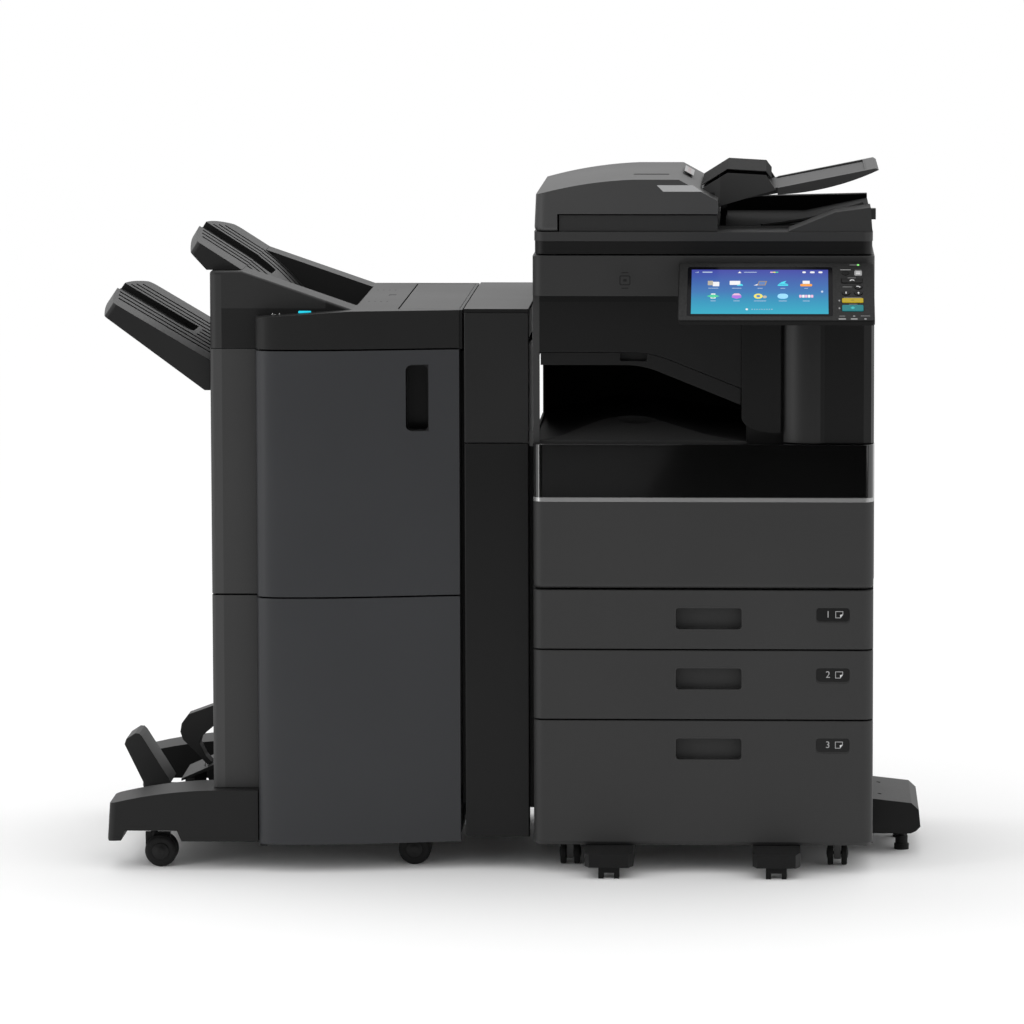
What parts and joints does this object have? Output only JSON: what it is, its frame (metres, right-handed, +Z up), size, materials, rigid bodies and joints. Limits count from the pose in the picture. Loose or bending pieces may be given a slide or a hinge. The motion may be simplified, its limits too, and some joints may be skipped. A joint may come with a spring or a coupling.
{
  "type": "photocopier",
  "caption": "Floor-standing photocopier with document feeder, tilting control panel, paper drawers, punch unit and a console finisher with booklet and stacking trays.",
  "frame": {"origin": "middle of the floor area, at floor level", "axes": "+X to the right of someone facing the control panel, +Y into the machine, away from that person, +Z up"},
  "size_m": [1.429, 0.8188, 1.214],
  "materials": {
    "booklet_arm": "satin",
    "booklet_stopper": "satin",
    "bridge_guide": "satin",
    "bridge_unit": "satin",
    "bypass_tray": "satin",
    "caster_mounts": "satin",
    "clear_key": "satin",
    "control_panel": "satin",
    "display_glass": "gloss, opaque behind",
    "document_tray": "fine grained",
    "exit_tray": "satin",
    "feeder_body": "satin",
    "feeder_top_cover": "fine grained",
    "finisher_covers": "satin",
    "finisher_flap": "satin",
    "finisher_frame": "satin",
    "finisher_top_cover": "satin",
    "fork_finisher_front_left": "satin",
    "fork_finisher_front_right": "satin",
    "front_cover": "fine grained",
    "front_trim": "polished",
    "gloss_panel": "high gloss",
    "guide_front": "satin",
    "guide_rear": "satin",
    "lower_door": "satin",
    "lower_drawer": "fine grained",
    "lower_tray": "satin",
    "main_frame": "satin",
    "middle_drawer": "fine grained",
    "pedestal": "satin",
    "platen_glass": "clear",
    "platen_lid": "fine grained",
    "power_key": "satin",
    "punch_door": "satin",
    "punch_unit": "satin",
    "rear_cover": "fine grained",
    "round_key_1": "satin",
    "round_key_2": "satin",
    "round_key_3": "satin",
    "scan_carriage": "matt",
    "scanner_housing": "fine grained",
    "side_covers": "fine grained",
    "stabiliser_glides": "matt",
    "stabilisers": "satin",
    "stand": "satin",
    "start_key": "satin",
    "stop_key": "satin",
    "toner_cartridges": "satin",
    "upper_door": "satin",
    "upper_drawer": "fine grained",
    "upper_front_covers": "fine grained",
    "upper_tray": "satin",
    "wheel_copier_front_left": "satin",
    "wheel_copier_front_right": "satin",
    "wheel_copier_rear_left": "satin",
    "wheel_copier_rear_right": "satin",
    "wheel_finisher_front_left": "satin",
    "wheel_finisher_front_right": "satin",
    "wheel_finisher_rear_left": "satin",
    "wheel_finisher_rear_right": "satin"
  },
  "bodies": {
    "base": {"pedestal": "pedestal", "stabilisers": "stabilisers", "stabiliser_glides": "stabiliser_glides", "main_frame": "main_frame", "side_covers": "side_covers", "rear_cover": "rear_cover", "upper_front_covers": "upper_front_covers", "exit_tray": "exit_tray", "bridge_unit": "bridge_unit", "toner_cartridges": "toner_cartridges", "scanner_housing": "scanner_housing", "platen_glass": "platen_glass", "caster_mounts": "caster_mounts", "punch_unit": "punch_unit", "finisher_frame": "finisher_frame", "finisher_covers": "finisher_covers", "stand": "stand", "upper_tray": "upper_tray", "finisher_top_cover": "finisher_top_cover"},
    "front_door": {"front_cover": "front_cover", "front_trim": "front_trim", "gloss_panel": "gloss_panel"},
    "upper_drawer": {"upper_drawer": "upper_drawer"},
    "middle_drawer": {"middle_drawer": "middle_drawer"},
    "lower_drawer": {"lower_drawer": "lower_drawer"},
    "bridge_guide": {"bridge_guide": "bridge_guide"},
    "scan_carriage": {"scan_carriage": "scan_carriage"},
    "feeder": {"platen_lid": "platen_lid", "feeder_body": "feeder_body"},
    "feeder_cover": {"feeder_top_cover": "feeder_top_cover"},
    "document_tray": {"document_tray": "document_tray"},
    "guide_front": {"guide_front": "guide_front"},
    "guide_rear": {"guide_rear": "guide_rear"},
    "panel": {"control_panel": "control_panel", "display_glass": "display_glass"},
    "bypass_tray": {"bypass_tray": "bypass_tray"},
    "punch_door": {"punch_door": "punch_door"},
    "upper_door": {"upper_door": "upper_door"},
    "lower_door": {"lower_door": "lower_door"},
    "flap": {"finisher_flap": "finisher_flap"},
    "lower_tray": {"lower_tray": "lower_tray"},
    "booklet_stopper": {"booklet_stopper": "booklet_stopper"},
    "booklet_arm": {"booklet_arm": "booklet_arm"},
    "power_key": {"power_key": "power_key"},
    "clear_key": {"clear_key": "clear_key"},
    "round_key_1": {"round_key_1": "round_key_1"},
    "round_key_2": {"round_key_2": "round_key_2"},
    "round_key_3": {"round_key_3": "round_key_3"},
    "stop_key": {"stop_key": "stop_key"},
    "start_key": {"start_key": "start_key"},
    "fork_finisher_front_left": {"fork_finisher_front_left": "fork_finisher_front_left"},
    "fork_finisher_front_right": {"fork_finisher_front_right": "fork_finisher_front_right"},
    "wheel_finisher_front_left": {"wheel_finisher_front_left": "wheel_finisher_front_left"},
    "wheel_finisher_front_right": {"wheel_finisher_front_right": "wheel_finisher_front_right"},
    "wheel_finisher_rear_left": {"wheel_finisher_rear_left": "wheel_finisher_rear_left"},
    "wheel_finisher_rear_right": {"wheel_finisher_rear_right": "wheel_finisher_rear_right"},
    "wheel_copier_front_left": {"wheel_copier_front_left": "wheel_copier_front_left"},
    "wheel_copier_front_right": {"wheel_copier_front_right": "wheel_copier_front_right"},
    "wheel_copier_rear_left": {"wheel_copier_rear_left": "wheel_copier_rear_left"},
    "wheel_copier_rear_right": {"wheel_copier_rear_right": "wheel_copier_rear_right"}
  },
  "joints": [
    {"name": "front_cover_hinge", "type": "hinge", "parent": "base", "child": "front_door", "pos_m": [0.335, -0.23755, 0.505], "axis": [1, 0, 0], "range_deg": [0, 88]},
    {"name": "upper_drawer_slide", "type": "slide", "parent": "base", "child": "upper_drawer", "axis": [0, -1, 0], "range_m": [0, 0.4]},
    {"name": "middle_drawer_slide", "type": "slide", "parent": "base", "child": "middle_drawer", "axis": [0, -1, 0], "range_m": [0, 0.4]},
    {"name": "lower_drawer_slide", "type": "slide", "parent": "base", "child": "lower_drawer", "axis": [0, -1, 0], "range_m": [0, 0.4]},
    {"name": "bridge_guide_hinge", "type": "hinge", "parent": "base", "child": "bridge_guide", "pos_m": [0.2035, 0.28245, 0.8955], "axis": [1, 0, 0], "range_deg": [0, 6]},
    {"name": "scan_carriage_slide", "type": "slide", "parent": "base", "child": "scan_carriage", "axis": [1, 0, 0], "range_m": [0, 0.4]},
    {"name": "feeder_hinge", "type": "hinge", "parent": "base", "child": "feeder", "pos_m": [0.335, 0.31045, 1.085], "axis": [-1, 0, 0], "range_deg": [0, 60]},
    {"name": "feeder_cover_hinge", "type": "hinge", "parent": "feeder", "child": "feeder_cover", "pos_m": [0.0535, -0.00555, 1.1195], "axis": [0, -1, 0], "range_deg": [0, 70]},
    {"name": "document_tray_hinge", "type": "hinge", "parent": "feeder", "child": "document_tray", "pos_m": [0.3675, 0.01045, 1.1505], "axis": [0, -1, 0], "range_deg": [0, 8]},
    {"name": "guide_front_slide", "type": "slide", "parent": "document_tray", "child": "guide_front", "axis": [0, 1, 0], "range_m": [0, 0.085]},
    {"name": "guide_rear_slide", "type": "slide", "parent": "document_tray", "child": "guide_rear", "axis": [0, 1, 0], "range_m": [-0.085, 0]},
    {"name": "panel_hinge", "type": "hinge", "parent": "base", "child": "panel", "pos_m": [0.4595, -0.25905, 1.047], "axis": [1, 0, 0], "range_deg": [-15, 45]},
    {"name": "power_key_press", "type": "slide", "parent": "panel", "child": "power_key", "axis": [0, 0.5, -0.866], "range_m": [0, 0.001], "stiffness_N_per_m": 800},
    {"name": "clear_key_press", "type": "slide", "parent": "panel", "child": "clear_key", "axis": [0, 0.5, -0.866], "range_m": [0, 0.001], "stiffness_N_per_m": 800},
    {"name": "round_key_1_press", "type": "slide", "parent": "panel", "child": "round_key_1", "axis": [0, 0.5, -0.866], "range_m": [0, 0.001], "stiffness_N_per_m": 800},
    {"name": "round_key_2_press", "type": "slide", "parent": "panel", "child": "round_key_2", "axis": [0, 0.5, -0.866], "range_m": [0, 0.001], "stiffness_N_per_m": 800},
    {"name": "round_key_3_press", "type": "slide", "parent": "panel", "child": "round_key_3", "axis": [0, 0.5, -0.866], "range_m": [0, 0.001], "stiffness_N_per_m": 800},
    {"name": "stop_key_press", "type": "slide", "parent": "panel", "child": "stop_key", "axis": [0, 0.5, -0.866], "range_m": [0, 0.001], "stiffness_N_per_m": 800},
    {"name": "start_key_press", "type": "slide", "parent": "panel", "child": "start_key", "axis": [0, 0.5, -0.866], "range_m": [0, 0.001], "stiffness_N_per_m": 800},
    {"name": "bypass_tray_hinge", "type": "hinge", "parent": "base", "child": "bypass_tray", "pos_m": [0.6268, 0.04445, 0.5005], "axis": [0, 1, 0], "range_deg": [0, 75]},
    {"name": "punch_door_hinge", "type": "hinge", "parent": "base", "child": "punch_door", "pos_m": [-0.0705, -0.20955, 0.86], "axis": [0, 0, -1], "range_deg": [0, 90]},
    {"name": "upper_door_hinge", "type": "hinge", "parent": "base", "child": "upper_door", "pos_m": [-0.4255, -0.23755, 0.7], "axis": [0, 0, -1], "range_deg": [0, 85]},
    {"name": "lower_door_hinge", "type": "hinge", "parent": "base", "child": "lower_door", "pos_m": [-0.4255, -0.23755, 0.26], "axis": [0, 0, -1], "range_deg": [0, 85]},
    {"name": "flap_hinge", "type": "hinge", "parent": "base", "child": "flap", "pos_m": [-0.138, 0.33245, 0.971], "axis": [-1, 0, 0], "range_deg": [0, 60]},
    {"name": "lower_tray_lift", "type": "slide", "parent": "base", "child": "lower_tray", "axis": [0, 0, 1], "range_m": [-0.4, 0]},
    {"name": "booklet_stopper_hinge", "type": "hinge", "parent": "base", "child": "booklet_stopper", "pos_m": [-0.6425, 0.05445, 0.1], "axis": [0, -1, 0], "range_deg": [0, 30]},
    {"name": "booklet_arm_hinge", "type": "hinge", "parent": "base", "child": "booklet_arm", "pos_m": [-0.5265, 0.05445, 0.243], "axis": [0, 1, 0], "range_deg": [0, 25]},
    {"name": "front_left_swivel", "type": "hinge", "parent": "base", "child": "fork_finisher_front_left", "pos_m": [-0.6215, -0.17955, 0.05], "axis": [0, 0, 1], "continuous": true},
    {"name": "wheel_finisher_front_left_spin", "type": "hinge", "parent": "fork_finisher_front_left", "child": "wheel_finisher_front_left", "pos_m": [-0.6085, -0.17955, 0.028], "axis": [0, 1, 0], "continuous": true},
    {"name": "front_right_swivel", "type": "hinge", "parent": "base", "child": "fork_finisher_front_right", "pos_m": [-0.1815, -0.14855, 0.05], "axis": [0, 0, 1], "continuous": true},
    {"name": "wheel_finisher_front_right_spin", "type": "hinge", "parent": "fork_finisher_front_right", "child": "wheel_finisher_front_right", "pos_m": [-0.1685, -0.14855, 0.028], "axis": [0, 1, 0], "continuous": true},
    {"name": "wheel_finisher_rear_left_spin", "type": "hinge", "parent": "base", "child": "wheel_finisher_rear_left", "pos_m": [-0.6085, 0.35695, 0.028], "axis": [0, 1, 0], "continuous": true},
    {"name": "wheel_finisher_rear_right_spin", "type": "hinge", "parent": "base", "child": "wheel_finisher_rear_right", "pos_m": [-0.1685, 0.35695, 0.028], "axis": [0, 1, 0], "continuous": true},
    {"name": "wheel_copier_front_left_spin", "type": "hinge", "parent": "base", "child": "wheel_copier_front_left", "pos_m": [0.1025, -0.14955, 0.021], "axis": [1, 0, 0], "continuous": true},
    {"name": "wheel_copier_front_right_spin", "type": "hinge", "parent": "base", "child": "wheel_copier_front_right", "pos_m": [0.5675, -0.14955, 0.021], "axis": [1, 0, 0], "continuous": true},
    {"name": "wheel_copier_rear_left_spin", "type": "hinge", "parent": "base", "child": "wheel_copier_rear_left", "pos_m": [0.1025, 0.28045, 0.021], "axis": [1, 0, 0], "continuous": true},
    {"name": "wheel_copier_rear_right_spin", "type": "hinge", "parent": "base", "child": "wheel_copier_rear_right", "pos_m": [0.5675, 0.28045, 0.021], "axis": [1, 0, 0], "continuous": true}
  ],
  "couplings": [
    {"joint": "guide_rear_slide", "follows": "guide_front_slide", "ratio": -1}
  ]
}
